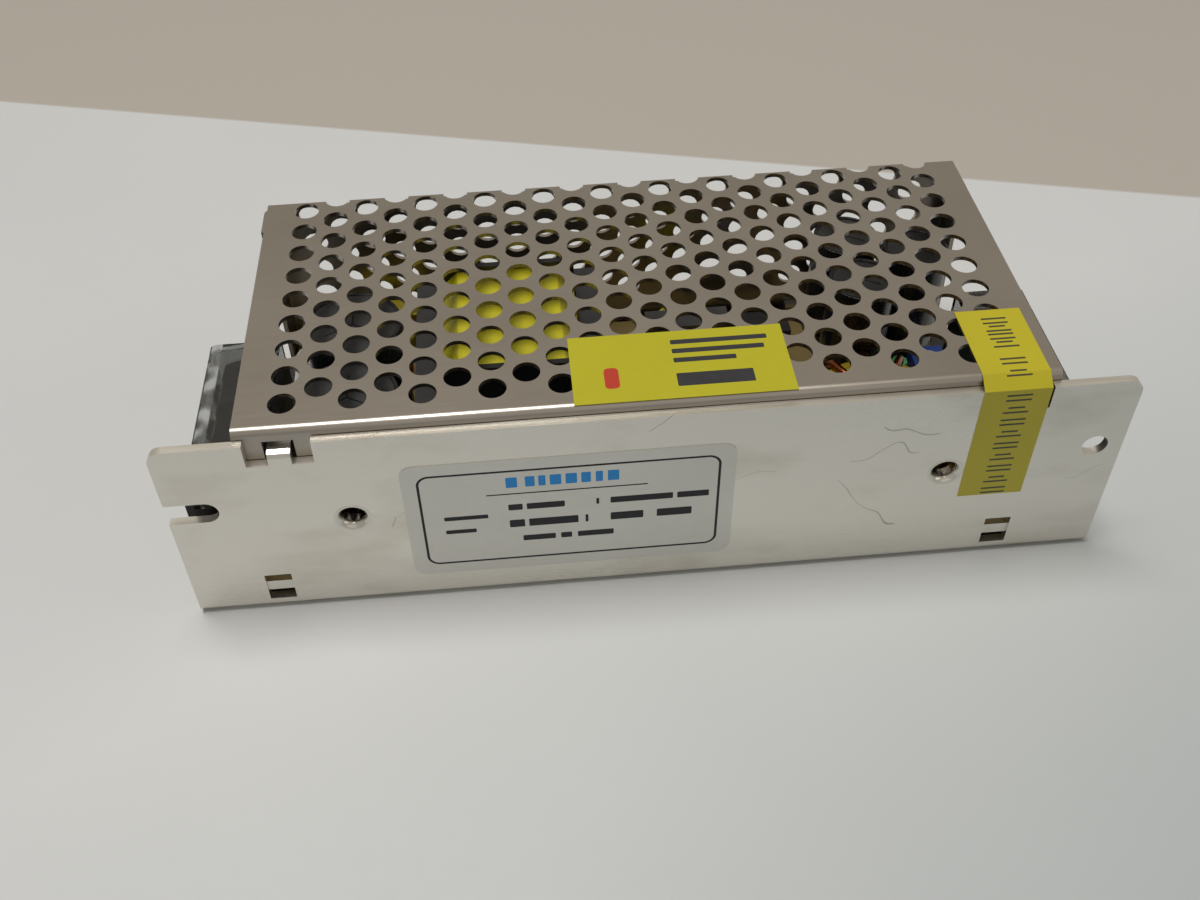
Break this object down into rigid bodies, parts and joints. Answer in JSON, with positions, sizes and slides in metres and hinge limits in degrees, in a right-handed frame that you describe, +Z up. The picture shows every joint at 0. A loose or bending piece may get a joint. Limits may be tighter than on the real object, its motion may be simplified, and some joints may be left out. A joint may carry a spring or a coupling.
{
  "type": "mesh case switching power supply",
  "caption": "Slim enclosed mains switching supply: folded aluminium chassis, perforated steel cover, screw terminals at both ends under clear flip-up covers.",
  "frame": {"origin": "middle of the underside of the base plate's outline", "axes": "+X along the case from the input terminals to the output terminals, -Y out of the side wall with the mounting ears and nameplate, +Z up through the perforated cover"},
  "size_m": [0.16, 0.0631, 0.043],
  "materials": {
    "bright_aluminium": "bare rolled sheet, light grey with a soft shine",
    "cover_steel": "plated steel sheet, satin brownish grey",
    "grey_film": "dark insulating film",
    "board_laminate": "tan board laminate",
    "plated_steel": "zinc plated",
    "black_plastic": "moulded, slightly satin",
    "tinned_brass": "tinned",
    "clear_plastic": "clear moulded, glossy",
    "ferrite": "dark grey, dull",
    "yellow_tape": "polyester tape, slight gloss",
    "capacitor_sleeve": "shrunk sleeve",
    "film_capacitor_case": "moulded box",
    "blue_ceramic": "coated disc",
    "dark_ceramic": "coated disc",
    "package_plastic": "moulded package",
    "grey_pad": "silicone pad",
    "powder_core": "painted iron powder ring",
    "enamelled_copper": "enamelled copper wire",
    "fuse_ceramic": "tube with plated ends",
    "trimmer_blue": "moulded",
    "trimmer_white": "moulded",
    "lamp_green": "tinted epoxy",
    "pale_label": "coated label",
    "yellow_label": "coated label"
  },
  "bodies": {
    "case": {"chassis": "bright_aluminium", "mesh_cover": "cover_steel", "insulation_sheet": "grey_film", "circuit_board": "board_laminate", "board_pillars": "plated_steel", "board_screws": "plated_steel", "cover_screws": "plated_steel", "input_terminal_block": "black_plastic", "output_terminal_block": "black_plastic", "terminal_contacts": "tinned_brass", "clamp_plates": "plated_steel", "transformer_core": "ferrite", "transformer_bobbin": "black_plastic", "transformer_winding": "yellow_tape", "driver_core": "ferrite", "driver_winding": "yellow_tape", "bulk_capacitors": "capacitor_sleeve", "output_capacitors": "capacitor_sleeve", "x_capacitor": "film_capacitor_case", "y_capacitors": "blue_ceramic", "thermistor": "dark_ceramic", "power_transistor_1": "package_plastic", "power_transistor_2": "package_plastic", "output_rectifier": "package_plastic", "insulating_pads": "grey_pad", "transistor_screws": "plated_steel", "output_choke_core": "powder_core", "output_choke_winding": "enamelled_copper", "input_choke_core": "ferrite", "input_choke_winding": "enamelled_copper", "fuse": "fuse_ceramic", "bridge_rectifier": "package_plastic", "control_chip": "package_plastic", "voltage_trimmer": "trimmer_blue", "indicator_lamp": "lamp_green", "nameplate_label": "pale_label", "cover_label": "yellow_label", "seal_strip": "yellow_label"},
    "input_lid": {"input_terminal_cover": "clear_plastic"},
    "output_lid": {"output_terminal_cover": "clear_plastic"},
    "trimmer_knob": {"trimmer_rotor": "trimmer_white"},
    "input_screw_1_body": {"input_screw_1": "plated_steel"},
    "input_screw_2_body": {"input_screw_2": "plated_steel"},
    "input_screw_3_body": {"input_screw_3": "plated_steel"},
    "output_screw_1_body": {"output_screw_1": "plated_steel"},
    "output_screw_2_body": {"output_screw_2": "plated_steel"},
    "output_screw_3_body": {"output_screw_3": "plated_steel"}
  },
  "joints": [
    {"name": "input_lid_hinge", "type": "hinge", "parent": "case", "child": "input_lid", "pos_m": [-0.0651, -0.0134, 0.0286], "axis": [0, 1, 0], "range_deg": [0, 60]},
    {"name": "output_lid_hinge", "type": "hinge", "parent": "case", "child": "output_lid", "pos_m": [0.0621, -0.0134, 0.0286], "axis": [0, -1, 0], "range_deg": [0, 60]},
    {"name": "trimmer_turn", "type": "hinge", "parent": "case", "child": "trimmer_knob", "pos_m": [0.06, 0.0066, 0.0125], "axis": [0, 0, 1], "range_deg": [0, 270]},
    {"name": "input_screw_turn_1", "type": "hinge", "parent": "case", "child": "input_screw_1_body", "pos_m": [-0.0718, -0.0224, 0.0199], "axis": [0, 0, 1], "continuous": true},
    {"name": "input_screw_turn_2", "type": "hinge", "parent": "case", "child": "input_screw_2_body", "pos_m": [-0.0718, -0.0134, 0.0199], "axis": [0, 0, 1], "continuous": true},
    {"name": "input_screw_turn_3", "type": "hinge", "parent": "case", "child": "input_screw_3_body", "pos_m": [-0.0718, -0.0044, 0.0199], "axis": [0, 0, 1], "continuous": true},
    {"name": "output_screw_turn_1", "type": "hinge", "parent": "case", "child": "output_screw_1_body", "pos_m": [0.0688, -0.0224, 0.0199], "axis": [0, 0, 1], "continuous": true},
    {"name": "output_screw_turn_2", "type": "hinge", "parent": "case", "child": "output_screw_2_body", "pos_m": [0.0688, -0.0134, 0.0199], "axis": [0, 0, 1], "continuous": true},
    {"name": "output_screw_turn_3", "type": "hinge", "parent": "case", "child": "output_screw_3_body", "pos_m": [0.0688, -0.0044, 0.0199], "axis": [0, 0, 1], "continuous": true}
  ]
}
